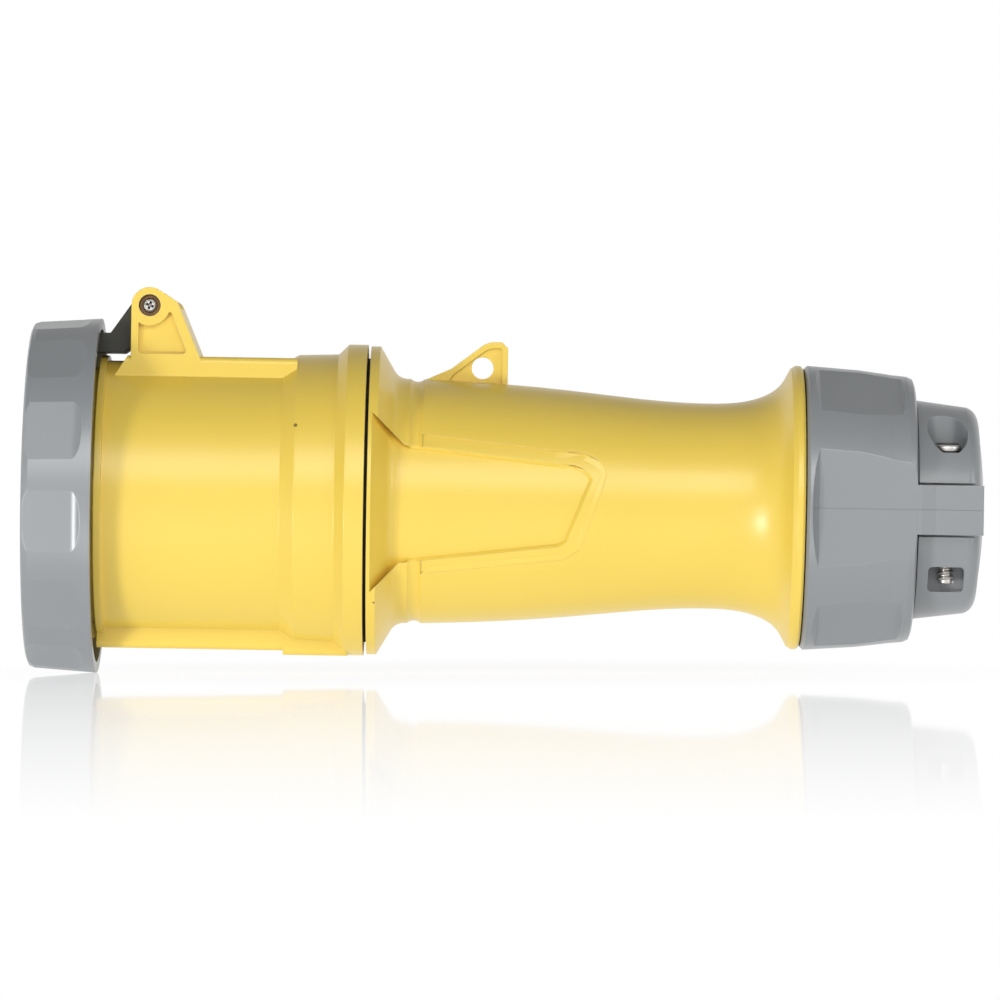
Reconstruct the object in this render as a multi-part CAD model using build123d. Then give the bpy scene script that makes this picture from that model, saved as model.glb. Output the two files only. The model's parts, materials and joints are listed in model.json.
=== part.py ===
from build123d import *
import os
from math import cos, sin, radians

# Watertight pin and sleeve connector for a cord end: hinged lid, locking ring, gland nut, cord grip.
# X runs along the connector from the mating end (-X) to the cord end (+X), +Z is the hinge side.
# The origin is on the connector's axis, in the mouth of the pilot sleeve. Sizes are in millimetres.

# Fits
turn_gap = 0.30
seat_gap = 0.10
screw_gap = 0.02
pin_gap = 0.05
slide_gap = 0.50

# Contacts
line_pin_r = 4.0
earth_pin_r = 5.0
pilot_pin_r = 3.0
sleeve_wall = 2.2
sleeve_depth = 42.0
sleeve_slot = 0.8
sleeve_slot_length = 28.0
contact_circle_r = 18.4
contact_lead = 2.0
contact_collar = 1.2
contact_collar_w = 2.0
entry_gap = 0.6
spring_place = 8.0
spring_width = 1.6
spring_groove = 0.5
spring_proud = 0.4
wire_hole_depth = 14.0
terminal_screw_r = 2.5
terminal_screw_length = 7.0

# Insulating blocks
pilot_recess = 5.0
carrier_recess = 2.0
carrier_r = 30.0
carrier_flange_w = 4.0
terminal_block_r = 28.5
terminal_block_length = 17.0
carrier_screw_r = 1.75
carrier_screw_circle_r = 20.0
carrier_screw_grip = 8.0
carrier_screw_head_h = 2.2
slot_w = 0.8
slot_depth = 1.0

# Front housing
front_length = 93.3
shroud_bore_r = 36.0
shroud_depth = 62.0
nose_wall = 2.6
body_wall = 4.6
ridge_place = 13.7
ridge_w = 2.1
ridge_r = 42.1
floor_w = 4.0
collar_r = 43.2
collar_draft = 0.4
collar_length = 12.0
flange_r = 46.6
flange_w = 5.7
flange_slope = 3.0
collar_slope = 4.2
key_half = 5.5
key_depth = 3.6
key_wall = 3.0
key_wall_body = 5.7
bulge_half = 10.8
ramp_length = 7.0
ramp_start = 20.0
ramp_sweep = 24.0
ramp_set_back = 2.0

# Hinge
pin_place = 28.35
pin_z = 56.9
hinge_pin_r = 2.0
hinge_pin_head_gap = 2.2
pin_counterbore_r = 3.25
pin_end_cover = 3.0
ear_r = 5.4
ear_width = 7.2
hinge_half = 19.0
platform_z = 41.9
platform_place = 22.1
ear_shoulder = 8.05
ear_pocket_depth = 2.2
ear_pocket_corner = 1.2
ear_boss_r = 6.1
back_wall = 3.0
knuckle_r = 5.0
arm_gap = 0.4
arm_bottom_z = 42.8
arm_height = 5.9
spring_slot_half = 4.9
spring_slot_depth = 9.0
spring_leg = 9.0
spring_wire_r = 0.55
spring_coil_r = 3.3
spring_turns = 5

# Lid and locking ring
lid_thickness = 3.5
lid_border = 10.0
lid_dish = 1.0
lid_gap = 1.7
gasket_width = 6.5
gasket_depth = 1.5
gasket_squeeze = 0.05
ring_rear_r = 53.1
ring_taper = 1.2
ring_wall = 3.2
ring_length = 20.5
ring_lip = 5.6
ring_lip_w = 1.6
ring_corner = 2.0
ring_gap = 0.6
bead_height = 1.2
bead_w = 1.2
bead_sweep = 14.0
facet_count = 12
facet_offset = 8.5
facet_depth = 0.8
facet_length = 17.8
facet_runout = 3.2
lug_width = 3.0
lug_sweep = 18.0
lug_clear = 1.2

# Rear housing
joint_gap = 1.0
rear_length = 129.2
spigot_length = 6.0
spigot_r = 40.0
spigot_wall = 3.4
rear_flange_w = 2.8
flange_step = 0.4
cone_length = 5.6
cone_blend = 2.7
grip_front_r = 36.6
dip_length = 4.0
dip_depth = 0.8
pad_place = 16.0
border_depth = 0.4
grip_middle_place = 44.2
grip_middle_r = 33.9
grip_wall = 3.8
neck_place = 27.0
neck_r = 30.75
flare_place = 12.0
flare_r = 33.0
bell_place = 6.0
bell_r = 37.3
rim_r = 42.5
rim_w = 3.6
panel_depth = 1.6
panel_shift = 1.7
panel_border = 3.8
panel_length = 66.5
panel_tip = 7.6
panel_front_half = 17.5
panel_rear_half = 12.1
panel_flange_half = 27.2
boss_r = 4.0
tab_width = 5.0
tab_web = 2.6
tab_rim = 1.8
tab_height = 11.4
tab_hole_r = 3.27
tab_place = 16.7
tab_length = 24.2

# Housing screws
housing_screw_r = 1.75
housing_screw_head_r = 2.6
housing_screw_head_h = 3.0
housing_screw_length = 44.0

# Gland
thread_r = 35.0
thread_length = 23.5
bush_r = 30.7
cord_r = 14.0
bush_proud = 1.0
bush_length = 29.5
washer_w = 1.4
nut_gap = 0.4
nut_front_r = 42.6
nut_rear_r = 39.8
nut_length = 32.9
nut_step_place = 7.8
nut_cord_gap = 4.0
flat_front_y = 38.6
flat_rear_y = 37.2
scallop_cut = 2.0
strap_half = 7.35
nut_runout = 2.8
strap_outer_y = 36.1
strap_wall = 6.5
strap_fold_x = 1.2
strap_fold_w = 4.1
strap_length = 19.5

# Cord grip
jaw_gap = 0.6
jaw_front_r = 32.8
jaw_rear_r = 30.9
jaw_length = 20.8
jaw_corner = 5.0
jaw_dome = 2.2
jaw_hole_gap = 1.0
jaw_teeth = 4
jaw_tooth_h = 1.2
clamp_screw_r = 2.7
clamp_screw_y = 21.0
clamp_screw_place = 8.7
clamp_head_r = 4.3
clamp_head_h = 2.6
clamp_seat_z = 17.1
clamp_seat_r = 6.1
clamp_screw_length = 39.0
recess_length = 4.2
recess_w = 0.9
recess_depth = 1.3
window_top_z = 16.9
window_bottom_z = 24.3
window_length = 10.8
window_corner = 1.3
jaw_key_half = 5.0
jaw_key_height = 9.0
jaw_key_depth = 2.0
jaw_travel = 3.0

# Places worked out from the sizes above
rim_x = -(pilot_recess + carrier_recess)
carrier_x = -pilot_recess
contact_x = -contact_lead
front_end = rim_x + front_length
ridge_x = rim_x + ridge_place
pin_x = rim_x + pin_place
platform_front_x = rim_x + platform_place
floor_x = rim_x + shroud_depth
floor_end = floor_x + floor_w
nose_r = shroud_bore_r + nose_wall
body_r = shroud_bore_r + body_wall
flange_x = front_end - flange_w
rear_flange_r = flange_r - flange_step
collar_end = flange_x - flange_slope
collar_x = collar_end - collar_length
body_end = collar_x - collar_slope
key_r = shroud_bore_r + key_depth
joint_x = front_end + joint_gap
spigot_x = front_end - spigot_length
carrier_end = floor_end + carrier_flange_w
terminal_end = carrier_end + terminal_block_length
housing_screw_circle_r = (carrier_r + shroud_bore_r) / 2
ring_x = rim_x - lid_gap - lid_thickness - ring_gap / 2 - ring_lip_w
ring_front_r = ring_rear_r - ring_taper
lid_back_x = rim_x - lid_gap
lid_front_x = lid_back_x - lid_thickness
ring_bore_r = ring_rear_r - ring_wall
lid_r = ring_bore_r - ring_gap
arm_half = hinge_half - ear_width - arm_gap
rear_end = joint_x + rear_length
cone_foot_x = joint_x + rear_flange_w + cone_length
cone_shoulder_x = cone_foot_x + cone_blend
pad_front_x = joint_x + pad_place
grip_middle_x = pad_front_x + grip_middle_place
neck_x = rear_end - neck_place
flare_x = rear_end - flare_place
bell_x = rear_end - bell_place
tab_x = joint_x + tab_place
tab_top_z = grip_front_r + tab_height
tab_hole_x = tab_x + 0.686 * tab_length
seat_x = rear_end + thread_length + bush_proud - bush_length
thread_end = rear_end + thread_length
washer_x = thread_end + bush_proud
nut_x = rear_end + nut_gap
nut_end = nut_x + nut_length
nut_wall_x = washer_x + washer_w
jaw_x = nut_end + jaw_gap
jaw_end = jaw_x + jaw_length
clamp_screw_x = jaw_x + clamp_screw_place
strap_end = nut_end + strap_length
ear_inner = hinge_half - ear_width
pin_end = hinge_half - pin_end_cover
neck_bore_r = neck_r - grip_wall
strap_inner_y = strap_outer_y - strap_wall


# Helpers
def turned(*points):
    return revolve(Plane.XZ * make_face(Polyline(*points, close=True)), Axis.X)


def bar(x0, x1, radius, y=0.0, z=0.0):
    lowest = (Align.CENTER, Align.CENTER, Align.MIN)
    return Pos(x0, y, z) * (Rot(0, 90, 0) * Cylinder(radius, x1 - x0, align=lowest))


def cross_bar(y0, y1, radius, x, z):
    lowest = (Align.CENTER, Align.CENTER, Align.MIN)
    return Pos(x, y0, z) * (Rot(-90, 0, 0) * Cylinder(radius, y1 - y0, align=lowest))


def post(z0, z1, radius, x, y):
    lowest = (Align.CENTER, Align.CENTER, Align.MIN)
    return Pos(x, y, z0) * Cylinder(radius, z1 - z0, align=lowest)


def block(x0, x1, y0, y1, z0, z1):
    middle = Pos((x0 + x1) / 2, (y0 + y1) / 2, (z0 + z1) / 2)
    return middle * Box(x1 - x0, y1 - y0, z1 - z0)


def plate(edges, y0, y1):
    return extrude(Plane.XZ.offset(-y1) * make_face(edges), y1 - y0)


def polygon(*points):
    return Polyline(*points, close=True)


def rail(x0, x1, half_width, z0, z1, corner):
    sketch = Pos(0, (z0 + z1) / 2) * RectangleRounded(2 * half_width, z1 - z0, corner)
    return extrude(Plane.YZ.offset(x0) * sketch, x1 - x0)


def at_clock(angle):
    # Clockwise from the top, seen from the mating end
    return Rot(angle, 0, 0)


def sector(x0, x1, inner_r, outer_r, middle, sweep):
    ring = turned((x0, inner_r), (x1, inner_r), (x1, outer_r), (x0, outer_r))
    reach = 2 * outer_r
    half = radians(sweep / 2)
    corners = ((0, 0), (reach * -sin(half), reach * cos(half)), (reach * sin(half), reach * cos(half)))
    wedge = extrude(Plane.YZ.offset(x0 - 1) * make_face(polygon(*corners)), x1 - x0 + 2)
    return ring & (at_clock(middle) * wedge)


def on_circle(radius, angle):
    return (-radius * sin(radians(angle)), radius * cos(radians(angle)))


housing_screw_angles = (45, 135, 225, 315)
carrier_screw_angles = (60, 180, 300)
contacts = {
    "line_contact_top": (line_pin_r, 0),
    "earth_contact": (earth_pin_r, 120),
    "line_contact_side": (line_pin_r, 240),
}


# Front housing
def hinge_ears():
    left = pin_x - ear_r
    base_z = platform_z - 2
    slope = radians(57)
    touch = (pin_x + ear_r * cos(slope), pin_z + ear_r * sin(slope))
    crown = (pin_x + ear_r * cos(radians(118)), pin_z + ear_r * sin(radians(118)))
    shoulder = (pin_x + ear_shoulder, touch[1] - (pin_x + ear_shoulder - touch[0]) / 1.55)
    heel = (shoulder[0] + 0.9, shoulder[1] - 1.8)
    foot = (heel[0] + (heel[1] - base_z) * 0.42, base_z)
    outline = [
        Line((left, base_z), (left, pin_z)),
        ThreePointArc((left, pin_z), crown, touch),
        Line(touch, shoulder),
        Line(shoulder, heel),
        Line(heel, foot),
        Line(foot, (left, base_z)),
    ]
    ears = plate(outline, -hinge_half, -ear_inner) + plate(outline, ear_inner, hinge_half)
    wall_foot = (foot[0] - back_wall, base_z)
    wall_top = (heel[0] - back_wall, heel[1])
    web = plate(polygon(wall_foot, wall_top, heel, foot), -ear_inner, ear_inner)
    pocket_floor = platform_z + 0.6
    pocket = polygon(
        (left + 2.2, pocket_floor),
        (foot[0] - 4.3, pocket_floor),
        (heel[0] - 2.4, heel[1] - 1.4),
        (left + 2.2, heel[1] - 1.4),
    )
    body = ears + web
    for side in (-1, 1):
        outer = side * hinge_half
        inner = side * (hinge_half - ear_pocket_depth)
        low, high = min(outer, inner), max(outer, inner)
        dip = plate(pocket, low, high)
        dip = fillet(dip.edges().filter_by(Axis.Y), ear_pocket_corner)
        body -= dip - cross_bar(low - 1, high + 1, ear_boss_r, pin_x, pin_z)
    body -= cross_bar(-hinge_half, pin_end + 0.5, hinge_pin_r + screw_gap, pin_x, pin_z)
    body -= cross_bar(-hinge_half, -hinge_half + hinge_pin_head_gap, pin_counterbore_r, pin_x, pin_z)
    return body


def hinge_platform():
    slant = (platform_z - body_r * 0.87) * 0.65
    side = polygon(
        (platform_front_x - slant, body_r * 0.87),
        (platform_front_x, platform_z),
        (collar_x, platform_z),
        (collar_x, shroud_bore_r * 0.86),
        (platform_front_x - slant, shroud_bore_r * 0.86),
    )
    rounded = rail(ridge_x, collar_x, hinge_half, shroud_bore_r * 0.5, platform_z, 1.8)
    return rounded & plate(side, -hinge_half, hinge_half)


def front_housing():
    body = turned(
        (rim_x, 0),
        (rim_x, nose_r),
        (ridge_x, nose_r),
        (ridge_x, ridge_r),
        (ridge_x + ridge_w, ridge_r),
        (ridge_x + ridge_w, body_r),
        (body_end, body_r),
        (collar_x, collar_r),
        (collar_end, collar_r + collar_draft),
        (flange_x, flange_r),
        (front_end, flange_r),
        (front_end, 0),
    )
    nose_key_z = key_r + key_wall
    body += rail(rim_x, ridge_x + ridge_w, bulge_half - 1.5, -nose_key_z, -shroud_bore_r / 2, 1.5)
    body += rail(ridge_x, collar_x, bulge_half, -(key_r + key_wall_body), -shroud_bore_r / 2, 1.8)
    body += rail(body_end + 1, flange_x + 1, bulge_half, -flange_r, -shroud_bore_r / 2, 1.8)
    body += hinge_platform()
    lug_middle = 90
    for turn in (0, 180):
        middle = lug_middle + turn + ramp_start + ramp_sweep / 2
        ramp_x = rim_x + ramp_set_back
        body += sector(ramp_x, ramp_x + ramp_length, nose_r - 1, ridge_r - 0.3, middle, ramp_sweep)
    body -= bar(rim_x, floor_x, shroud_bore_r)
    body -= block(rim_x, floor_x, -key_half, key_half, -key_r, -shroud_bore_r / 2)
    body -= bar(floor_x, floor_end, carrier_r + seat_gap)
    body -= bar(floor_end, front_end, shroud_bore_r)
    body -= bar(spigot_x - seat_gap, front_end, spigot_r + seat_gap)
    for angle in housing_screw_angles:
        y, z = on_circle(housing_screw_circle_r, angle)
        body -= bar(floor_x, floor_end, housing_screw_r + seat_gap, y, z)
    body += hinge_ears()
    return body


# Hinge pin, spring, lid and ring
def hinge_pin():
    start = -hinge_half + hinge_pin_head_gap
    pin = cross_bar(start, pin_end, hinge_pin_r, pin_x, pin_z)
    for turn in (0, 90):
        slot = Rot(0, turn, 0) * Box(2.6, 1.8, 0.6)
        pin -= Pos(pin_x, start, pin_z) * slot
    return pin


def lid_spring():
    height = spring_turns * 2 * (spring_wire_r + 0.15)
    coil = Helix(pitch=height / spring_turns, height=height, radius=spring_coil_r)
    start = Plane(coil @ 0, z_dir=coil % 0)
    wire = sweep(start * Circle(spring_wire_r), path=coil, is_frenet=True)
    first = Plane(coil @ 0, z_dir=-(coil % 0)) * extrude(Circle(spring_wire_r), spring_leg)
    last = Plane(coil @ 1, z_dir=coil % 1) * extrude(Circle(spring_wire_r), spring_leg / 2)
    whole = wire + first + last
    return Pos(pin_x, -height / 2, pin_z) * (Rot(0, 150, 0) * (Rot(-90, 0, 0) * whole))


def lid():
    disc = turned(
        (lid_front_x, 0),
        (lid_front_x, lid_r - 0.8),
        (lid_front_x + 0.8, lid_r),
        (lid_back_x, lid_r),
        (lid_back_x, 0),
    )
    disc -= turned(
        (lid_front_x, 0),
        (lid_front_x, lid_r - lid_border),
        (lid_front_x + lid_dish, lid_r - lid_border - lid_dish),
        (lid_front_x + lid_dish, 0),
    )
    inner_r = (shroud_bore_r + nose_r) / 2 - gasket_width / 2
    outer_r = inner_r + gasket_width
    groove_x = lid_back_x - gasket_depth
    disc -= turned((groove_x, inner_r), (lid_back_x, inner_r), (lid_back_x, outer_r), (groove_x, outer_r))
    arm_top_z = arm_bottom_z + arm_height
    rise = radians(145)
    fall = radians(-58)
    arm = polygon(
        (lid_back_x - 1, arm_bottom_z),
        (platform_front_x - 2, arm_bottom_z),
        (platform_front_x + 0.6, arm_bottom_z + 1.7),
        (pin_x + knuckle_r * cos(fall), pin_z + knuckle_r * sin(fall)),
        (pin_x, pin_z),
        (pin_x + knuckle_r * cos(rise), pin_z + knuckle_r * sin(rise)),
        (platform_front_x - 5.6, arm_top_z),
        (lid_back_x - 1, arm_top_z),
    )
    arm = plate(arm, -arm_half, arm_half) + cross_bar(-arm_half, arm_half, knuckle_r, pin_x, pin_z)
    inside = bar(lid_front_x, ridge_x, lid_r - 0.4)
    beyond = block(ridge_x, pin_x + lid_r, -lid_r, lid_r, 0, 2 * lid_r)
    arm = arm & (inside + beyond)
    slot_r = spring_coil_r + spring_wire_r + 1.6
    arm -= cross_bar(-spring_slot_half, spring_slot_half, slot_r, pin_x, pin_z)
    slot_bottom = pin_z - spring_slot_depth
    slot_end = pin_x + knuckle_r + 1
    arm -= block(pin_x - 2, slot_end, -spring_slot_half, spring_slot_half, slot_bottom, pin_z)
    arm -= cross_bar(-arm_half, arm_half, hinge_pin_r + pin_gap, pin_x, pin_z)
    return disc + arm


def lid_gasket():
    inner_r = (shroud_bore_r + nose_r) / 2 - gasket_width / 2 + seat_gap
    outer_r = inner_r + gasket_width - 2 * seat_gap
    front = lid_back_x - gasket_depth
    back = rim_x - gasket_squeeze
    return turned(
        (front, inner_r), (back, inner_r + 0.4), (back, outer_r - 0.4), (front, outer_r)
    )


def locking_ring():
    ring_end = ring_x + ring_length
    ring = turned(
        (ring_x, ring_bore_r - ring_lip),
        (ring_x, ring_front_r - ring_corner),
        (ring_x + 0.3 * ring_corner, ring_front_r - 0.3 * ring_corner),
        (ring_x + ring_corner, ring_front_r),
        (ring_end, ring_rear_r),
        (ring_end, ring_bore_r),
        (ring_x + ring_lip_w, ring_bore_r),
        (ring_x + ring_lip_w, ring_bore_r - ring_lip),
    )
    flat_end = ring_x + facet_length - facet_runout
    facet_slope = ring_taper / (ring_length - ring_corner)
    front_z = ring_front_r - facet_depth - (1 + ring_corner) * facet_slope
    rear_z = front_z + (1 + facet_length - facet_runout) * facet_slope
    reach = ring_rear_r + facet_runout
    start = ring_x - 1
    end = ring_x + facet_length
    edges = [
        Line((start, front_z), (flat_end, rear_z)),
        TangentArc((flat_end, rear_z), (end, ring_rear_r), tangent=(1, facet_slope)),
        Line((end, ring_rear_r), (end, reach)),
        Line((end, reach), (start, reach)),
        Line((start, reach), (start, front_z)),
    ]
    half = 0.3 * ring_rear_r
    cutter = plate(edges, -half, half)
    for index in range(facet_count):
        ring -= at_clock(facet_offset + index * 360 / facet_count) * cutter
    bead_x = lid_back_x + ring_gap / 2
    for angle in (120, 180, 240):
        inner_r = ring_bore_r - bead_height
        ring += sector(bead_x, bead_x + bead_w, inner_r, ring_bore_r + 0.5, angle, bead_sweep)
    lug_x = rim_x + ramp_set_back + ramp_length + slide_gap
    for angle in (90, 270):
        ring += sector(lug_x, lug_x + lug_width, nose_r + lug_clear, ring_bore_r + 0.5, angle, lug_sweep)
    return ring


# Contacts and insulating blocks
def contact_places():
    places = []
    for name, (pin_r, angle) in contacts.items():
        y, z = on_circle(contact_circle_r, angle)
        places.append((name, contact_x, pin_r, y, z, angle))
    places.append(("pilot_contact", 0.0, pilot_pin_r, 0.0, 0.0, 180))
    return places


def contact_screw_x():
    return terminal_end - wire_hole_depth / 2 + contact_lead / 2


def sleeve(start, pin_r, y, z, angle):
    outer_r = pin_r + sleeve_wall
    end = terminal_end + contact_lead
    body = bar(start, end, outer_r)
    body += bar(carrier_end - contact_collar_w, carrier_end, outer_r + contact_collar)
    body -= bar(start, start + sleeve_depth, pin_r)
    body -= bar(end - wire_hole_depth, end, pin_r * 0.85)
    groove_x = start + spring_place
    body -= turned(
        (groove_x, outer_r - spring_groove),
        (groove_x + spring_width, outer_r - spring_groove),
        (groove_x + spring_width, outer_r + 1),
        (groove_x, outer_r + 1),
    )
    for turn in (0, 90):
        half = sleeve_slot / 2
        slot = block(start, start + sleeve_slot_length, -half, half, -2 * outer_r, 2 * outer_r)
        body -= Rot(turn + 45, 0, 0) * slot
    screw_hole = post(0, outer_r + 1, terminal_screw_r + screw_gap, contact_screw_x(), 0)
    body -= at_clock(angle) * screw_hole
    return Pos(0, y, z) * body


def contact_springs():
    rings = []
    for _, start, pin_r, y, z, _ in contact_places():
        inner = pin_r + sleeve_wall - spring_groove + 0.03
        outer = pin_r + sleeve_wall + spring_proud
        x0 = start + spring_place + 0.1
        x1 = x0 + spring_width - 0.2
        ring = turned((x0, inner), (x1, inner), (x1, outer), (x0, outer))
        ring -= block(x0 - 1, x1 + 1, -0.6, 0.6, 0, outer + 1)
        rings.append(Pos(0, y, z) * ring)
    return Compound(children=rings)


def terminal_screws():
    screws = []
    for _, _, pin_r, y, z, angle in contact_places():
        low = pin_r * 0.85 - 0.6
        top = low + terminal_screw_length
        reach = 2 * terminal_screw_r
        screw = post(low, top, terminal_screw_r, contact_screw_x(), 0)
        slot = block(-reach, reach, -slot_w / 2, slot_w / 2, top - slot_depth, top + 1)
        screw -= Pos(contact_screw_x(), 0, 0) * slot
        screws.append(Pos(0, y, z) * (at_clock(angle) * screw))
    return Compound(children=screws)


def contact_carrier():
    body = bar(carrier_x, floor_end, carrier_r) + bar(floor_end, carrier_end, shroud_bore_r - seat_gap)
    body = chamfer(body.edges().filter_by(GeomType.CIRCLE).sort_by(Axis.X)[0], 1.0)
    for _, start, pin_r, y, z, _ in contact_places():
        outer_r = pin_r + sleeve_wall
        body -= bar(carrier_x, start, pin_r + entry_gap, y, z)
        body -= bar(start, start + sleeve_depth, outer_r + spring_proud + slide_gap, y, z)
        body -= bar(start + sleeve_depth, carrier_end, outer_r + seat_gap, y, z)
        collar_room = outer_r + contact_collar + seat_gap
        body -= bar(carrier_end - contact_collar_w, carrier_end, collar_room, y, z)
    for angle in housing_screw_angles:
        y, z = on_circle(housing_screw_circle_r, angle)
        body -= bar(floor_end - 1, carrier_end, housing_screw_r + seat_gap, y, z)
    for angle in carrier_screw_angles:
        y, z = on_circle(carrier_screw_circle_r, angle)
        body -= bar(carrier_end - carrier_screw_grip - 1, carrier_end, carrier_screw_r + screw_gap, y, z)
    return body


def terminal_block():
    body = bar(carrier_end, terminal_end, terminal_block_r)
    for _, _, pin_r, y, z, angle in contact_places():
        body -= bar(carrier_end, terminal_end, pin_r + sleeve_wall + seat_gap, y, z)
        if (y, z) != (0.0, 0.0):
            hole = post(0, terminal_block_r, terminal_screw_r + 0.7, contact_screw_x(), 0)
            body -= Pos(0, y, z) * (at_clock(angle) * hole)
    pilot_hole = post(0, terminal_block_r, terminal_screw_r + 0.7, contact_screw_x(), 0)
    body -= at_clock(180) * pilot_hole
    for angle in carrier_screw_angles:
        y, z = on_circle(carrier_screw_circle_r, angle)
        body -= bar(carrier_end, terminal_end, carrier_screw_r + seat_gap, y, z)
    return body


def carrier_screws():
    screws = []
    for angle in carrier_screw_angles:
        y, z = on_circle(carrier_screw_circle_r, angle)
        shank = bar(carrier_end - carrier_screw_grip, terminal_end, carrier_screw_r)
        head_r = 1.8 * carrier_screw_r
        head_end = terminal_end + carrier_screw_head_h
        head = bar(terminal_end, head_end, head_r)
        slot = block(head_end - slot_depth, head_end + 1, -slot_w / 2, slot_w / 2, -2 * head_r, 2 * head_r)
        screws.append(Pos(0, y, z) * (shank + head - slot))
    return Compound(children=screws)


def housing_screws():
    screws = []
    for angle in housing_screw_angles:
        y, z = on_circle(housing_screw_circle_r, angle)
        shank = bar(floor_x, floor_x + housing_screw_length, housing_screw_r)
        head = bar(floor_x - housing_screw_head_h, floor_x, housing_screw_head_r)
        head_x = floor_x - housing_screw_head_h
        reach = 2 * housing_screw_head_r
        slot = block(head_x - 1, head_x + slot_depth, -slot_w / 2, slot_w / 2, -reach, reach)
        screws.append(Pos(0, y, z) * (shank + head - slot))
    return Compound(children=screws)


def housing_gasket():
    inner_r = spigot_r + seat_gap
    outer_r = inner_r + 2.4
    return turned(
        (front_end, inner_r), (joint_x, inner_r), (joint_x, outer_r), (front_end, outer_r)
    )


# Rear housing
def grip_outline(depth, flange_w, cone_shift):
    # The outside from the flange to the rim, drawn nearer the axis by depth
    flange_end = joint_x + flange_w
    foot_x = cone_foot_x - cone_shift
    shoulder_r = grip_front_r - depth
    drop = rear_flange_r - shoulder_r
    run = foot_x - flange_end
    slant = (run ** 2 + drop ** 2) ** 0.5
    blend_start = (foot_x - cone_blend * run / slant, shoulder_r + cone_blend * drop / slant)
    blend_end = (foot_x + cone_blend, shoulder_r)
    rim_top = rim_r - depth
    bell_end = (rear_end - rim_w, rim_top - 0.9)
    waist = (
        (pad_front_x, shoulder_r),
        (grip_middle_x, grip_middle_r - depth),
        (neck_x, neck_r - depth),
        (flare_x, flare_r - depth),
        (bell_x, bell_r - depth),
        bell_end,
    )
    return [
        Line((joint_x, 0), (joint_x, rear_flange_r)),
        Line((joint_x, rear_flange_r), (flange_end, rear_flange_r)),
        Line((flange_end, rear_flange_r), blend_start),
        TangentArc(blend_start, blend_end, tangent=(run, -drop)),
        Line(blend_end, waist[0]),
        Spline(*waist, tangents=((1, -0.03), (1, 1.75))),
        Line(bell_end, (rear_end - 0.6 * rim_w, rim_top)),
        Line((rear_end - 0.6 * rim_w, rim_top), (rear_end - 0.7, rim_top)),
        Line((rear_end - 0.7, rim_top), (rear_end, rim_top - 0.7)),
        Line((rear_end, rim_top - 0.7), (rear_end, 0)),
        Line((rear_end, 0), (joint_x, 0)),
    ]


def panel_outline(border):
    # Seen from the side, swollen by border all round
    front_x = joint_x + (rear_flange_w - panel_shift) / 2
    tip_x = joint_x + panel_length
    rear_x = tip_x - panel_tip
    top_front = (cone_shoulder_x - 0.4, panel_front_half - 0.9 + border)
    top_rear = (rear_x - 0.2, panel_rear_half - 0.7 + border)
    tip = (tip_x + border * 1.1, panel_rear_half * 0.6 + border * 0.4)
    bend = (tip_x - 2.3 + border, panel_rear_half * 0.82 + border * 0.8)
    low_rear = (rear_x + 0.3 + border * 1.1, -panel_rear_half + 0.7 - border * 0.5)
    low_corner = (rear_x - 2.0 + border * 0.4, -panel_rear_half - 0.7 - border)
    low_front = (cone_shoulder_x - 1.6, -panel_front_half - 0.9 - border)
    top_flange = (front_x, panel_flange_half - 0.5 + border)
    low_flange = (front_x, -panel_flange_half - 0.5 - border)
    return [
        Line(top_flange, top_front),
        Line(top_front, top_rear),
        ThreePointArc(top_rear, bend, tip),
        Line(tip, low_rear),
        Line(low_rear, low_corner),
        Line(low_corner, low_front),
        Line(low_front, low_flange),
        Line(low_flange, top_flange),
    ]


def side_recess(outline, inner, front_x):
    reach = rear_flange_r + 5
    prism = plate(outline, -reach, reach)
    prism = prism & block(front_x, rear_end, -reach, reach, -reach, reach)
    return prism - inner


def hang_tab():
    base_z = grip_front_r - 2
    tab_end = tab_x + tab_length
    top_x = tab_x + 0.79 * tab_length
    rise = tab_top_z - grip_front_r
    outline = polygon(
        (tab_x, base_z),
        (tab_x, grip_front_r),
        (tab_x + 0.305 * tab_length, grip_front_r + 0.29 * rise),
        (tab_x + 0.51 * tab_length, grip_front_r + 0.62 * rise),
        (tab_x + 0.70 * tab_length, grip_front_r + 0.93 * rise),
        (top_x, tab_top_z),
        (tab_end - tab_rim, tab_top_z),
        (tab_end, tab_top_z - tab_rim),
        (tab_end, base_z),
    )
    dip_end = tab_end - tab_rim
    dip_top = tab_top_z - tab_rim
    dip = polygon(
        (tab_x + 0.23 * tab_length, base_z),
        (tab_x + 0.33 * tab_length, grip_front_r + 0.14 * rise),
        (tab_x + 0.555 * tab_length, grip_front_r + 0.50 * rise),
        (tab_x + 0.735 * tab_length, grip_front_r + 0.79 * rise),
        (top_x + 0.5, dip_top),
        (dip_end - 0.6, dip_top),
        (dip_end, dip_top - 0.6),
        (dip_end, base_z),
    )
    tab = plate(outline, -tab_width / 2, tab_width / 2)
    tab -= plate(dip, tab_web / 2, tab_width / 2)
    tab -= plate(dip, -tab_width / 2, -tab_web / 2)
    return tab


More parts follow.
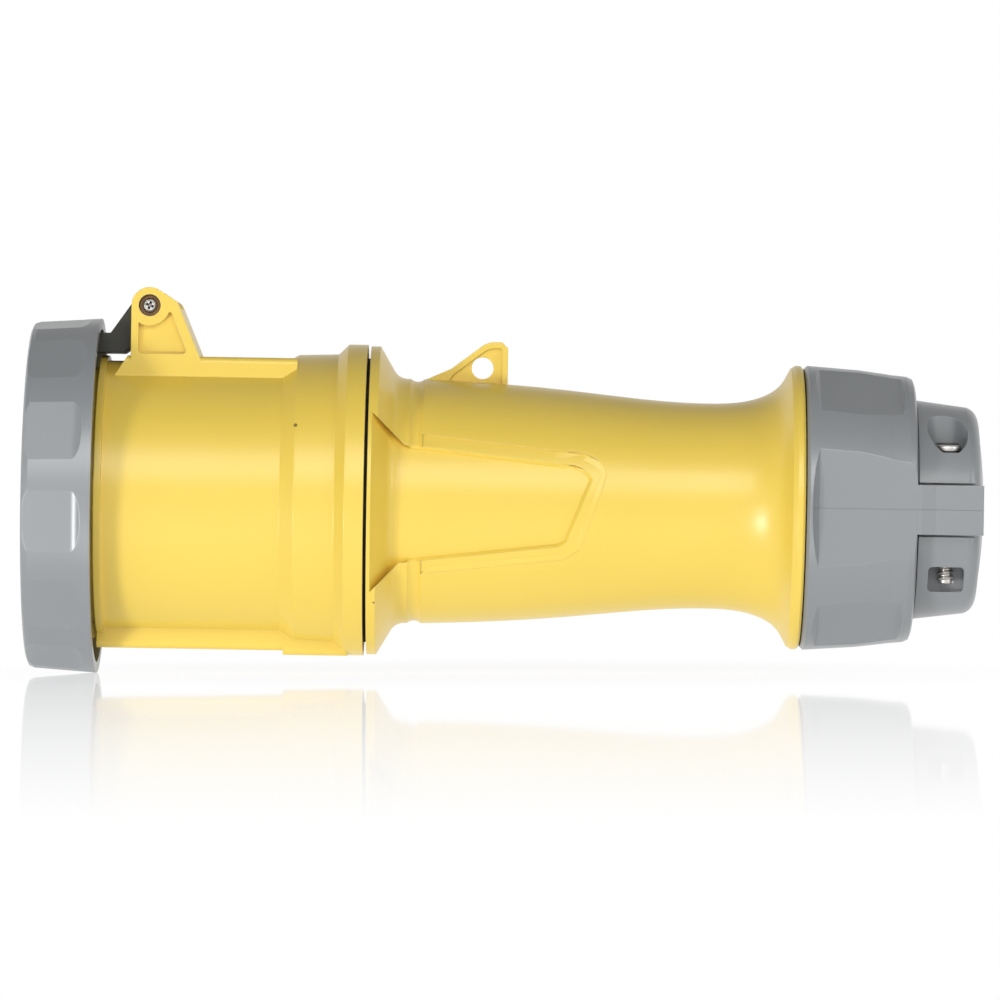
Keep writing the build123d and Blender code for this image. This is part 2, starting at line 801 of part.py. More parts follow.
def rear_housing():
    thin_flange = rear_flange_w - panel_shift
    border = revolve(Plane.XZ * make_face(grip_outline(border_depth, rear_flange_w, 0)), Axis.X)
    panel = revolve(Plane.XZ * make_face(grip_outline(panel_depth, thin_flange, panel_shift)), Axis.X)
    body = revolve(Plane.XZ * make_face(grip_outline(0, rear_flange_w, 0)), Axis.X)
    body -= side_recess(panel_outline(panel_border), border, pad_front_x)
    body -= side_recess(panel_outline(0), panel, joint_x + thin_flange)
    dip_x = pad_front_x - dip_length
    dip_middle = (pad_front_x - dip_length / 2, grip_front_r - dip_depth)
    dip = [
        ThreePointArc((dip_x, grip_front_r), dip_middle, (pad_front_x, grip_front_r)),
        Line((pad_front_x, grip_front_r), (pad_front_x, rear_flange_r)),
        Line((pad_front_x, rear_flange_r), (dip_x, rear_flange_r)),
        Line((dip_x, rear_flange_r), (dip_x, grip_front_r)),
    ]
    body -= revolve(Plane.XZ * make_face(dip), Axis.X)
    body += hang_tab()
    body += bar(spigot_x, joint_x, spigot_r)
    body += bar(rear_end - 6, thread_end, thread_r)
    bell_root = rear_end - 5.5
    body -= turned(
        (bell_root, thread_r), (rear_end, thread_r), (rear_end, rim_r - 2.6), (rear_end - 2, rim_r - 3.0)
    )
    inside_front = spigot_r - spigot_wall
    shoulder_bore = grip_front_r - grip_wall
    body -= turned(
        (spigot_x, 0),
        (spigot_x, inside_front),
        (joint_x, inside_front),
        (cone_foot_x, shoulder_bore),
        (neck_x, neck_bore_r),
        (seat_x, neck_bore_r),
        (seat_x, bush_r + turn_gap),
        (thread_end, bush_r + turn_gap),
        (thread_end, 0),
    )
    tab_hole_z = grip_front_r + tab_hole_r + 0.3
    body -= cross_bar(-tab_width, tab_width, tab_hole_r, tab_hole_x, tab_hole_z)
    flange_end = joint_x + rear_flange_w
    boss_end = cone_shoulder_x + 2
    room = bar(carrier_end, spigot_x, shroud_bore_r - seat_gap)
    room += bar(spigot_x, flange_end, spigot_r - 1)
    room += bar(flange_end, boss_end, grip_front_r - 2)
    for angle in housing_screw_angles:
        y, z = on_circle(housing_screw_circle_r, angle)
        body += bar(carrier_end, boss_end, boss_r, y, z) & room
        body -= bar(carrier_end, floor_x + housing_screw_length + 1, housing_screw_r + screw_gap, y, z)
    return body


# Gland
def gland_bush():
    taper = 3.0
    return turned(
        (seat_x, cord_r + 1),
        (seat_x, bush_r - taper),
        (seat_x + taper, bush_r),
        (washer_x, bush_r),
        (washer_x, cord_r + 1),
        (washer_x - 1, cord_r),
        (seat_x + 1, cord_r),
    )


def slip_washer():
    inner_r = cord_r + nut_cord_gap - 0.5
    return turned(
        (washer_x, inner_r), (nut_wall_x, inner_r), (nut_wall_x, bush_r - 0.5), (washer_x, bush_r - 0.5)
    )


def long_cut(x0, x1, y_front, y_rear, runout, open_rear):
    # A flat cut along the nut, with a curved run-out at its ends, lying to -Y
    reach = nut_front_r + 6
    rear = [Line((x1, -y_rear), (x1, -reach))]
    if not open_rear:
        rear = [
            ThreePointArc((x1 - runout, -y_rear), (x1 - 0.3 * runout, -y_rear - 0.35 * (reach - y_rear)),
                          (x1, -reach)),
        ]
    turn_x = x1 if open_rear else x1 - runout
    edges = [
        ThreePointArc((x0, -reach), (x0 + 0.3 * runout, -y_front - 0.35 * (reach - y_front)),
                      (x0 + runout, -y_front)),
        Line((x0 + runout, -y_front), (turn_x, -y_rear)),
        *rear,
        Line((x1, -reach), (x0, -reach)),
    ]
    return extrude(Plane.XY * make_face(edges), reach / 2, both=True)


def gland_nut():
    step_x = nut_end - nut_step_place
    body = turned(
        (nut_x, 0),
        (nut_x, nut_front_r - 1.0),
        (nut_x + 1.0, nut_front_r),
        (nut_x + nut_length / 2, nut_front_r - 1.1),
        (step_x, nut_front_r - 2.2),
        (step_x + 0.4, nut_rear_r + 0.5),
        (nut_end - 2.2, nut_rear_r),
        (nut_end - 0.6, nut_rear_r - 0.7),
        (nut_end, nut_rear_r - 2.2),
        (nut_end, 0),
    )
    for side in (0, 180):
        flat = long_cut(nut_x + 1, nut_end + 1, flat_front_y, flat_rear_y, nut_runout, True)
        body -= at_clock(side) * flat
    scallop_y = nut_front_r - scallop_cut
    scallop_rear = nut_rear_r - scallop_cut + 0.7
    for angle in (60, -60, 120, -120):
        cut = long_cut(nut_x + 1.5, nut_end - 1.5, scallop_y, scallop_rear, nut_runout, False)
        body -= at_clock(angle) * cut
    fold_x = nut_end + strap_fold_x
    inner_y = strap_inner_y
    root_x = nut_end - 3
    strap = [
        Line((root_x, -inner_y), (root_x, -flat_rear_y)),
        Line((root_x, -flat_rear_y), (fold_x, -flat_rear_y)),
        Line((fold_x, -flat_rear_y), (fold_x + strap_fold_w, -strap_outer_y)),
        Line((fold_x + strap_fold_w, -strap_outer_y), (strap_end, -strap_outer_y)),
        Line((strap_end, -strap_outer_y), (strap_end, -inner_y)),
        Line((strap_end, -inner_y), (root_x, -inner_y)),
    ]
    strap = extrude(Plane.XY * make_face(strap), strap_half, both=True)
    body += strap + at_clock(180) * strap
    body -= bar(nut_x, nut_wall_x, thread_r + turn_gap)
    body -= bar(nut_wall_x, nut_end, cord_r + nut_cord_gap)
    groove_end = jaw_key_place() + jaw_key_height + jaw_travel + slide_gap
    for side in (-1, 1):
        near = side * (jaw_key_place() - slide_gap)
        far = side * groove_end
        low, high = min(near, far), max(near, far)
        depth_x = nut_end - jaw_key_depth - slide_gap
        half = jaw_key_half + slide_gap / 2
        body -= block(depth_x, nut_end, -half, half, low, high)
    return body


# Cord grip
def jaw_key_place():
    return cord_r + nut_cord_gap + 2


def jaw_half(side):
    # One jaw reaches the middle behind the straps, and is cut back beside them
    low = strap_half + jaw_gap
    beside = block(jaw_x, jaw_end, -jaw_front_r, jaw_front_r, low, jaw_front_r)
    behind = strap_inner_y - jaw_gap
    middle = block(jaw_x, jaw_end, -behind, behind, jaw_gap / 2, low + 1)
    half = jaw_body() & (beside + middle)
    return half if side > 0 else mirror(half, about=Plane.XY)


def jaw_body():
    dome_x = jaw_end - jaw_dome
    corner_x = dome_x - jaw_corner * 0.7
    corner_r = jaw_rear_r - jaw_corner
    outline = [
        Line((jaw_x, 0), (jaw_x, jaw_front_r)),
        Line((jaw_x, jaw_front_r), (corner_x, jaw_rear_r)),
        ThreePointArc(
            (corner_x, jaw_rear_r),
            (corner_x + 0.7 * (dome_x - corner_x), corner_r + 0.7 * jaw_corner),
            (dome_x, corner_r),
        ),
        ThreePointArc((dome_x, corner_r), (dome_x + 0.75 * jaw_dome, corner_r / 2), (jaw_end, 0)),
        Line((jaw_end, 0), (jaw_x, 0)),
    ]
    body = revolve(Plane.XZ * make_face(outline), Axis.X)
    hole_r = cord_r + jaw_hole_gap
    body -= bar(jaw_x, jaw_end, hole_r)
    pitch = jaw_length / jaw_teeth
    for index in range(jaw_teeth):
        start = jaw_x + index * pitch
        end = start + 0.8 * pitch
        body -= turned((start, hole_r - 1), (start, hole_r + jaw_tooth_h), (end, hole_r), (end, hole_r - 1))
    return body


def jaw_key(side):
    near = side * jaw_key_place()
    far = side * (jaw_key_place() + jaw_key_height)
    low, high = min(near, far), max(near, far)
    return block(jaw_x - jaw_gap - jaw_key_depth, jaw_x + 1, -jaw_key_half, jaw_key_half, low, high)


def upper_jaw():
    jaw = jaw_half(1) + jaw_key(1)
    for y in (-clamp_screw_y, clamp_screw_y):
        jaw -= post(clamp_seat_z, jaw_front_r + 1, clamp_seat_r, clamp_screw_x, y)
        jaw -= post(0, clamp_seat_z + 1, clamp_screw_r + seat_gap, clamp_screw_x, y)
    return jaw


def lower_jaw():
    jaw = jaw_half(-1) + jaw_key(-1)
    for side in (-1, 1):
        y = side * clamp_screw_y
        jaw -= post(-window_bottom_z, 0, clamp_screw_r + turn_gap, clamp_screw_x, y)
        near = side * (clamp_screw_y - clamp_screw_r - 1.5)
        far = side * jaw_front_r
        low, high = min(near, far), max(near, far)
        start = clamp_screw_x - window_length / 2
        end = clamp_screw_x + window_length / 2
        window = block(start, end, low, high, -window_bottom_z, -window_top_z)
        jaw -= fillet(window.edges().filter_by(Axis.Y), window_corner)
    return jaw


def clamp_screws():
    screws = []
    for y in (-clamp_screw_y, clamp_screw_y):
        shank = post(clamp_seat_z - clamp_screw_length, clamp_seat_z, clamp_screw_r, clamp_screw_x, y)
        head = post(clamp_seat_z, clamp_seat_z + clamp_head_h, clamp_head_r, clamp_screw_x, y)
        screw = shank + head
        for turn in (0, 90):
            slot = Rot(0, 0, turn) * Box(recess_length, recess_w, 2 * recess_depth)
            screw -= Pos(clamp_screw_x, y, clamp_seat_z + clamp_head_h) * slot
        screws.append(screw)
    return Compound(children=screws)


def build():
    pieces = {
        "front_housing": front_housing(),
        "rear_housing": rear_housing(),
        "hinge_pin": hinge_pin(),
        "lid_spring": lid_spring(),
        "lid": lid(),
        "lid_gasket": lid_gasket(),
        "locking_ring": locking_ring(),
        "contact_carrier": contact_carrier(),
        "terminal_block": terminal_block(),
        "contact_springs": contact_springs(),
        "terminal_screws": terminal_screws(),
        "carrier_screws": carrier_screws(),
        "housing_screws": housing_screws(),
        "housing_gasket": housing_gasket(),
        "gland_bush": gland_bush(),
        "slip_washer": slip_washer(),
        "gland_nut": gland_nut(),
        "upper_jaw": upper_jaw(),
        "lower_jaw": lower_jaw(),
        "clamp_screws": clamp_screws(),
    }
    for name, start, pin_r, y, z, angle in contact_places():
        pieces[name] = sleeve(start, pin_r, y, z, angle)
    return pieces


os.makedirs("parts", exist_ok=True)
for node, shape in build().items():
    export_step(shape, f"parts/{node}.step")
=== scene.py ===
import json
import math

import bpy
import bmesh
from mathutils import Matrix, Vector


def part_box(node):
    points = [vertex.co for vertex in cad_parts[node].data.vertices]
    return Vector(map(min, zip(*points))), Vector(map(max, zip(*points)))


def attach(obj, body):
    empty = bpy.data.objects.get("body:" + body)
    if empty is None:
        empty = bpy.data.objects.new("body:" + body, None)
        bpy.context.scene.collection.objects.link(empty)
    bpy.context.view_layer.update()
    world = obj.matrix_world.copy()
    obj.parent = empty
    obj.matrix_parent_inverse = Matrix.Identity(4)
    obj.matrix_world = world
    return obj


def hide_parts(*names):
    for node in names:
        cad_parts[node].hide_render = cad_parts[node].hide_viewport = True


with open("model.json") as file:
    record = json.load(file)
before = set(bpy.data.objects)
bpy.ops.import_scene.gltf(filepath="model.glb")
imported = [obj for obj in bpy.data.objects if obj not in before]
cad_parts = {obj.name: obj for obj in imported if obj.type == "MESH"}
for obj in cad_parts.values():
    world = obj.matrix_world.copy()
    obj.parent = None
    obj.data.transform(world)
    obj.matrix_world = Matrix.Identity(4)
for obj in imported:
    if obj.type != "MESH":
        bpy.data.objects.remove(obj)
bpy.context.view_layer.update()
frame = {"nodes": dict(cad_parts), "record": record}
nodes = frame["nodes"]
print("frame loaded:", len(nodes), "nodes")


# Shader maths written as expressions
class Wire:
    # One output socket of a shader node. A sum or a product of wires adds a Math node.
    def __init__(self, tree, socket=None):
        self.tree = tree
        self.socket = socket

    def node(self, kind, settings=None, inputs=None, output=0):
        made = self.tree.nodes.new(kind)
        for name, value in (settings or {}).items():
            if name == "stops":
                for stop, (place, shade) in zip(made.color_ramp.elements, value):
                    stop.position = place
                    stop.color = (shade, shade, shade, 1)
            else:
                setattr(made, name, value)
        for name, value in (inputs or {}).items():
            if isinstance(value, Wire):
                self.tree.links.new(value.socket, made.inputs[name])
            else:
                made.inputs[name].default_value = value
        return Wire(self.tree, made.outputs[output])

    def math(self, operation, second=0.0):
        return self.node("ShaderNodeMath", {"operation": operation}, {0: self, 1: second})

    def __add__(self, other):
        return self.math("ADD", other)

    def __mul__(self, other):
        return self.math("MULTIPLY", other)

    def blend(self, first, second):
        # From the first colour to the second as this wire goes from 0 to 1
        return self.node("ShaderNodeMix", {"data_type": "RGBA"}, {0: self, 6: first, 7: second}, 2)


def startMaterial(name):
    material = bpy.data.materials.new(name)
    material.use_nodes = True
    tree = material.node_tree
    tree.nodes.clear()
    output = tree.nodes.new("ShaderNodeOutputMaterial")
    return material, Wire(tree), output.inputs["Surface"]


def noise(wire, place, scale, detail=2.0, rough=0.5):
    values = {"Vector": place, "Scale": scale, "Detail": detail, "Roughness": rough}
    return wire.node("ShaderNodeTexNoise", {}, values)


def rgba(colour):
    return (colour[0], colour[1], colour[2], 1.0)


def ramp(wire, value, start, end, first=0.0, last=1.0):
    # From first to last as the value goes from start to end, and no further
    return wire.node("ShaderNodeMapRange", {"clamp": True}, {
        "Value": value, "From Min": start, "From Max": end, "To Min": first, "To Max": last})


def spot(wire, place, centre, radius, softness):
    # 1 inside a small round mark at centre, 0 outside
    gap = wire.node("ShaderNodeVectorMath", {"operation": "DISTANCE"}, {0: place, 1: centre}, 1)
    return ramp(wire, gap, radius, radius + softness, 1.0, 0.0)


# Moulded plastics: satin skin, faint flow clouds, and rounded edges painted a little lighter,
# partly as wear and partly as a painted highlight.
# An edge is where the rounded normal leaves the flat one. Roughness stays above 0.28, because the
# denoiser draws thin lines where it falls below about 0.27.
skin = {
    "cloudDetail": 3.0, "grainDepth": 0.00004, "bevelSamples": 6,
    "edgeStart": 0.97, "edgeFull": 0.80,
}


def mouldedPlastic(name, look):
    material, wire, surface = startMaterial(name)
    place = wire.node("ShaderNodeTexCoord", output="Object")
    clouds = noise(wire, place, look["cloudScale"], skin["cloudDetail"])
    grain = noise(wire, place, look["grainScale"])
    rounded = wire.node("ShaderNodeBevel", {"samples": skin["bevelSamples"]},
                        {"Radius": look["edgeRadius"]})
    flat = wire.node("ShaderNodeNewGeometry", output="Normal")
    facing = wire.node("ShaderNodeVectorMath", {"operation": "DOT_PRODUCT"},
                       {0: rounded, 1: flat}, 1)
    edge = ramp(wire, facing, skin["edgeStart"], skin["edgeFull"])
    body = clouds.blend(rgba(look["colour"]), rgba(look["cloudColour"]))
    # Edges are painted lighter, partly as wear and partly as a painted highlight
    wearDirtAndPaintedLight = (edge * look["edgeWearAndHighlight"]).blend(body, rgba(look["edgeWearAndHighlightColour"]))
    # Each mark is painted on: the specks are real dirt, and the two rings round the hinge pin are
    # painted shade in its counterbore
    for mark in look.get("marks", []):
        speckAndShadeMask = spot(wire, place, mark["place"], mark["radius"], mark["softness"])
        wearDirtAndPaintedLight = speckAndShadeMask.blend(wearDirtAndPaintedLight, rgba(mark["colour"]))
    bump = wire.node("ShaderNodeBump", {}, {
        "Height": grain, "Strength": look["grainStrength"], "Distance": skin["grainDepth"],
        "Normal": rounded})
    shader = wire.node("ShaderNodeBsdfPrincipled", {}, {
        "Base Color": wearDirtAndPaintedLight,
        "Roughness": clouds * look["roughnessSpread"] + look["roughness"],
        "Specular IOR Level": look["specular"],
        "Normal": bump})
    wire.tree.links.new(shader.socket, surface)
    return material


yellowLook = {
    "colour": (0.785, 0.572, 0.088), "cloudColour": (0.76, 0.547, 0.076),
    "edgeWearAndHighlightColour": (0.88, 0.69, 0.17), "edgeRadius": 0.00045, "edgeWearAndHighlight": 0.55,
    "cloudScale": 26.0, "grainScale": 2600.0, "grainStrength": 0.07,
    "roughness": 0.285, "roughnessSpread": 0.08, "specular": 0.6,
    # A speck on the barrel, one on the flange, and painted shade in the counterbore round the
    # hinge pin
    "marks": [
        {"place": (0.0658, -0.0373, 0.0218), "radius": 0.0005, "softness": 0.0002,
         "colour": (0.20, 0.13, 0.02)},
        {"place": (0.0897, -0.0350, -0.0302), "radius": 0.0003, "softness": 0.0002,
         "colour": (0.30, 0.18, 0.04)},
        # Painted shade in the counterbore round the hinge pin: a near-black rim and a brown floor
        {"place": (0.02135, -0.0165, 0.0569), "radius": 0.0034, "softness": 0.0005,
         "colour": (0.040, 0.012, 0.004)},
        {"place": (0.02135, -0.0165, 0.0569), "radius": 0.0027, "softness": 0.0003,
         "colour": (0.25, 0.11, 0.012)},
    ],
}
greyLook = {
    "colour": (0.238, 0.252, 0.262), "cloudColour": (0.219, 0.232, 0.241),
    "edgeWearAndHighlightColour": (0.44, 0.46, 0.47), "edgeRadius": 0.0004, "edgeWearAndHighlight": 0.35,
    "cloudScale": 30.0, "grainScale": 2600.0, "grainStrength": 0.06,
    "roughness": 0.285, "roughnessSpread": 0.06, "specular": 0.9,
}
blackLook = {
    "colour": (0.024, 0.024, 0.017), "cloudColour": (0.030, 0.030, 0.022),
    "edgeWearAndHighlightColour": (0.10, 0.10, 0.085), "edgeRadius": 0.0004, "edgeWearAndHighlight": 0.4,
    "cloudScale": 40.0, "grainScale": 2400.0, "grainStrength": 0.3,
    "roughness": 0.44, "roughnessSpread": 0.12, "specular": 0.4,
}
whiteLook = {
    "colour": (0.78, 0.78, 0.75), "cloudColour": (0.70, 0.70, 0.67),
    "edgeWearAndHighlightColour": (0.85, 0.85, 0.83), "edgeRadius": 0.0003, "edgeWearAndHighlight": 0.3,
    "cloudScale": 60.0, "grainScale": 2000.0, "grainStrength": 0.2,
    "roughness": 0.42, "roughnessSpread": 0.1, "specular": 0.4,
}


# Rubber: matt, dusty in patches
rubberLook = {
    "colour": (0.014, 0.014, 0.014), "dust": (0.05, 0.05, 0.048),
    "dustScale": 90.0, "dustDetail": 5.0, "dustRough": 0.65, "dustStart": 0.5, "dustFull": 0.75,
    "grainScale": 3200.0, "grainStrength": 0.4, "grainDepth": 0.00005,
    "roughness": 0.72, "roughnessSpread": 0.2,
}


def mattRubber(name, look):
    material, wire, surface = startMaterial(name)
    place = wire.node("ShaderNodeTexCoord", output="Object")
    dust = noise(wire, place, look["dustScale"], look["dustDetail"], look["dustRough"])
    grain = noise(wire, place, look["grainScale"])
    stops = [(look["dustStart"], 0.0), (look["dustFull"], 1.0)]
    patches = wire.node("ShaderNodeValToRGB", {"stops": stops}, {"Fac": dust})
    bump = wire.node("ShaderNodeBump", {}, {
        "Height": grain, "Strength": look["grainStrength"], "Distance": look["grainDepth"]})
    shader = wire.node("ShaderNodeBsdfPrincipled", {}, {
        "Base Color": patches.blend(rgba(look["colour"]), rgba(look["dust"])),
        "Roughness": dust * look["roughnessSpread"] + look["roughness"],
        "Normal": bump})
    wire.tree.links.new(shader.socket, surface)
    return material


# Turned metals: fine tool lines, finger marks, and painted shade where little light gets in
tooling = {
    "markScale": 420.0, "markDetail": 4.0, "markRough": 0.6, "lineScale": 5200.0,
    "lineStrength": 0.15, "lineDepth": 0.00002, "edgeRadius": 0.00015, "bevelSamples": 6,
    "shadeReach": 0.0010, "shadeSamples": 8, "shadeFull": 0.45, "shadeEnd": 0.85,
    "roughnessSpread": 0.25,
}
steelLook = {
    "colour": (0.60, 0.585, 0.56), "dull": (0.42, 0.40, 0.375), "recessShade": (0.020, 0.012, 0.008),
    "roughness": 0.22,
}
brassLook = {
    "colour": (0.72, 0.50, 0.20), "dull": (0.50, 0.33, 0.12), "recessShade": (0.16, 0.09, 0.03),
    "roughness": 0.26,
}


def turnedMetal(name, look):
    material, wire, surface = startMaterial(name)
    place = wire.node("ShaderNodeTexCoord", output="Object")
    marks = noise(wire, place, tooling["markScale"], tooling["markDetail"], tooling["markRough"])
    lines = noise(wire, place, tooling["lineScale"])
    rounded = wire.node("ShaderNodeBevel", {"samples": tooling["bevelSamples"]},
                        {"Radius": tooling["edgeRadius"]})
    bump = wire.node("ShaderNodeBump", {}, {
        "Height": lines, "Strength": tooling["lineStrength"], "Distance": tooling["lineDepth"],
        "Normal": rounded})
    # Ambient occlusion paints shade into hollows, such as a screw head's cross recess
    opened = wire.node("ShaderNodeAmbientOcclusion", {"samples": tooling["shadeSamples"]},
                       {"Distance": tooling["shadeReach"]}, 1)
    unshaded = ramp(wire, opened, tooling["shadeFull"], tooling["shadeEnd"])
    metal = marks.blend(rgba(look["colour"]), rgba(look["dull"]))
    shader = wire.node("ShaderNodeBsdfPrincipled", {}, {
        "Base Color": unshaded.blend(rgba(look["recessShade"]), metal),
        "Metallic": 1.0,
        "Roughness": marks * tooling["roughnessSpread"] + look["roughness"],
        "Normal": bump})
    wire.tree.links.new(shader.socket, surface)
    return material


finishes = {
    "yellow_plastic": mouldedPlastic("yellowShell", yellowLook),
    "grey_plastic": mouldedPlastic("greyRing", greyLook),
    "black_plastic": mouldedPlastic("blackLid", blackLook),
    "white_plastic": mouldedPlastic("whiteWasher", whiteLook),
    "black_rubber": mattRubber("blackSeal", rubberLook),
    "steel": turnedMetal("screwSteel", steelLook),
    "brass": turnedMetal("contactBrass", brassLook),
}
slotOf = {part["node"]: part["material_slot"] for part in frame["record"]["subparts"]}
for nodeName, part in nodes.items():
    part.data.materials.clear()
    part.data.materials.append(finishes[slotOf[nodeName]])
print("materials on", len(nodes), "nodes")


# Modelling helpers. A face is a cap when the z of its normal is past capLimit, a screw's shank
# runs into its head by overlap, and a strip starts at startDistance from the axis.
modelling = {
    "capLimit": 0.9, "barSides": 48, "bevelSteps": 3, "overlap": 0.0003,
    "smoothAngle": 35, "curvedAngle": 60, "startDistance": 0.06,
}


def deselectAll():
    if bpy.context.object and bpy.context.object.mode != "OBJECT":
        bpy.ops.object.mode_set(mode="OBJECT")
    bpy.ops.object.select_all(action="DESELECT")


def selectOnly(piece):
    deselectAll()
    piece.select_set(True)
    bpy.context.view_layer.objects.active = piece


def pickFaces(piece, test):
    # In edit mode, selects the faces whose centre and normal pass the test, and no others
    mesh = bmesh.from_edit_mesh(piece.data)
    for corner in mesh.verts:
        corner.select = False
    mesh.select_flush(False)
    for face in mesh.faces:
        if test(face.calc_center_median(), face.normal):
            face.select_set(True)
    bmesh.update_edit_mesh(piece.data)


def applyModifier(piece, kind, settings):
    selectOnly(piece)
    modifier = piece.modifiers.new(kind.lower(), kind)
    for name, value in settings.items():
        setattr(modifier, name, value)
    bpy.ops.object.modifier_apply(modifier=modifier.name)


def placeInMesh(piece, place=(0, 0, 0), turn=(0, 0, 0)):
    # Turns and moves a piece, and leaves its object at the origin
    selectOnly(piece)
    piece.rotation_euler = turn
    piece.location = place
    bpy.ops.object.transform_apply(location=True, rotation=True, scale=True)


def joinPieces(pieces):
    deselectAll()
    for piece in pieces:
        piece.select_set(True)
    bpy.context.view_layer.objects.active = pieces[0]
    bpy.ops.object.join()
    return bpy.context.object


def finishPiece(piece, name, body, slot, angle=modelling["smoothAngle"]):
    selectOnly(piece)
    bpy.ops.object.mode_set(mode="EDIT")
    bpy.ops.mesh.select_all(action="SELECT")
    bpy.ops.mesh.normals_make_consistent(inside=False)
    bpy.ops.object.mode_set(mode="OBJECT")
    bpy.ops.object.shade_smooth_by_angle(angle=math.radians(angle))
    piece.name = name
    piece.data.materials.clear()
    piece.data.materials.append(finishes[slot])
    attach(piece, body)
    print(name, "rides on", body)


def bar(radius, low, high, bevel):
    # A round bar along z with rounded ends
    deselectAll()
    bpy.ops.mesh.primitive_cylinder_add(vertices=modelling["barSides"], radius=radius,
                                        depth=high - low, location=(0, 0, (low + high) / 2))
    piece = bpy.context.object
    bpy.ops.object.transform_apply(location=True)
    bpy.ops.object.mode_set(mode="EDIT")
    pickFaces(piece, lambda centre, normal: abs(normal.z) > modelling["capLimit"])
    bpy.ops.mesh.bevel(offset=bevel, segments=modelling["bevelSteps"], affect="EDGES")
    bpy.ops.object.mode_set(mode="OBJECT")
    return piece


# Shares of a head's radius, and how narrow a recess blade is at its bottom
headShape = {"slope": 0.35, "crown": 0.2, "taper": (0.45, 0.8, 1)}


def recessBlade(size, turn):
    # One tapered blade of a cross recess, with its middle at the head's top
    deselectAll()
    bpy.ops.mesh.primitive_cube_add(size=1)
    blade = bpy.context.object
    bpy.ops.object.mode_set(mode="EDIT")
    bpy.ops.transform.resize(value=(size["recessLength"], size["recessWidth"],
                                    2 * size["recessDepth"]))
    pickFaces(blade, lambda centre, normal: normal.z < -modelling["capLimit"])
    bpy.ops.transform.resize(value=headShape["taper"])
    bpy.ops.object.mode_set(mode="OBJECT")
    placeInMesh(blade, (0, 0, size["headHeight"]), (0, 0, turn))
    return blade


def screwHead(size):
    # A domed head that sits on z = 0, with its cross recess in the top
    head = bar(size["headRadius"], 0, size["headHeight"], size["headEdge"])
    bpy.ops.object.mode_set(mode="EDIT")
    pickFaces(head, lambda centre, normal: normal.z > modelling["capLimit"])
    bpy.ops.mesh.inset(thickness=headShape["slope"] * size["headRadius"])
    bpy.ops.transform.translate(value=(0, 0, size["dome"]))
    bpy.ops.mesh.bevel(offset=headShape["crown"] * size["headRadius"],
                       segments=modelling["bevelSteps"], affect="EDGES")
    bpy.ops.object.mode_set(mode="OBJECT")
    for turn in (0, math.pi / 2):
        blade = recessBlade(size, turn)
        applyModifier(head, "BOOLEAN", {
            "operation": "DIFFERENCE", "solver": "EXACT", "object": blade})
        bpy.data.objects.remove(blade)
    return head


def threadRidge(size):
    # A triangle beside the axis, wound up along z by the screw modifier. Its foot is sunk in the
    # core. A three-sided circle of radius 1 is 1.5 deep and the square root of 3 wide.
    deselectAll()
    bpy.ops.mesh.primitive_circle_add(vertices=3, radius=1)
    ridge = bpy.context.object
    tip = max((corner.co for corner in ridge.data.vertices), key=lambda place: place.y)
    depth = size["threadDepth"] + size["sink"]
    placeInMesh(ridge, turn=(0, 0, -math.atan2(tip.y, tip.x)))
    bpy.ops.object.mode_set(mode="EDIT")
    bpy.ops.transform.resize(value=(depth / 1.5, size["threadWidth"] / 3 ** 0.5, 1),
                             center_override=(0, 0, 0))
    bpy.ops.transform.translate(value=(size["coreRadius"] - size["sink"] + depth / 3, 0, 0))
    bpy.ops.object.mode_set(mode="OBJECT")
    placeInMesh(ridge, turn=(math.pi / 2, 0, 0))
    applyModifier(ridge, "SCREW", {
        "axis": "Z", "angle": 2 * math.pi, "screw_offset": size["pitch"],
        "iterations": size["turns"], "steps": size["steps"], "render_steps": size["steps"],
        "use_smooth_shade": True})
    bpy.ops.object.mode_set(mode="EDIT")
    bpy.ops.mesh.select_all(action="SELECT")
    bpy.ops.mesh.fill_holes(sides=0)
    bpy.ops.object.mode_set(mode="OBJECT")
    return ridge


# Clamp screws: pan heads sunk in the upper jaw, machine thread down to the lower jaw's windows
clampScrew = {
    "headRadius": 0.0043, "headHeight": 0.0021, "headEdge": 0.0005, "dome": 0.0005,
    "recessLength": 0.0042, "recessWidth": 0.0009, "recessDepth": 0.0012,
    "coreRadius": 0.00200, "threadDepth": 0.00070, "threadWidth": 0.0013, "sink": 0.00005,
    "pitch": 0.0016, "turns": 16, "steps": 24, "seat": 0.0171, "side": 0.021, "tip": 0.0006,
    "headTurn": 0.6,
}


def addClampScrews():
    low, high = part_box("clamp_screws")
    middle = (low.x + high.x) / 2
    screws = []
    for side in (-clampScrew["side"], clampScrew["side"]):
        head = screwHead(clampScrew)
        placeInMesh(head, (0, 0, clampScrew["seat"]), (0, 0, clampScrew["headTurn"]))
        shank = bar(clampScrew["coreRadius"], low.z, clampScrew["seat"] + modelling["overlap"],
                    clampScrew["tip"])
        thread = threadRidge(clampScrew)
        placeInMesh(thread, (0, 0, low.z + clampScrew["tip"]))
        screw = joinPieces([head, shank, thread])
        placeInMesh(screw, (middle, side, 0))
        screws.append(screw)
    pair = joinPieces(screws)
    finishPiece(pair, "clampScrewPair", "upper_clamp", "steel")
    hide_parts("clamp_screws")


# Hinge pin: a domed head with a cross recess sits on the floor of the near ear's counterbore
hingePin = {
    "headRadius": 0.0022, "headHeight": 0.0008, "headEdge": 0.0003, "dome": 0.0003,
    "recessLength": 0.0030, "recessWidth": 0.00075, "recessDepth": 0.0010,
    "shankRadius": 0.00199, "end": 0.0004, "headTurn": math.radians(-20),
}


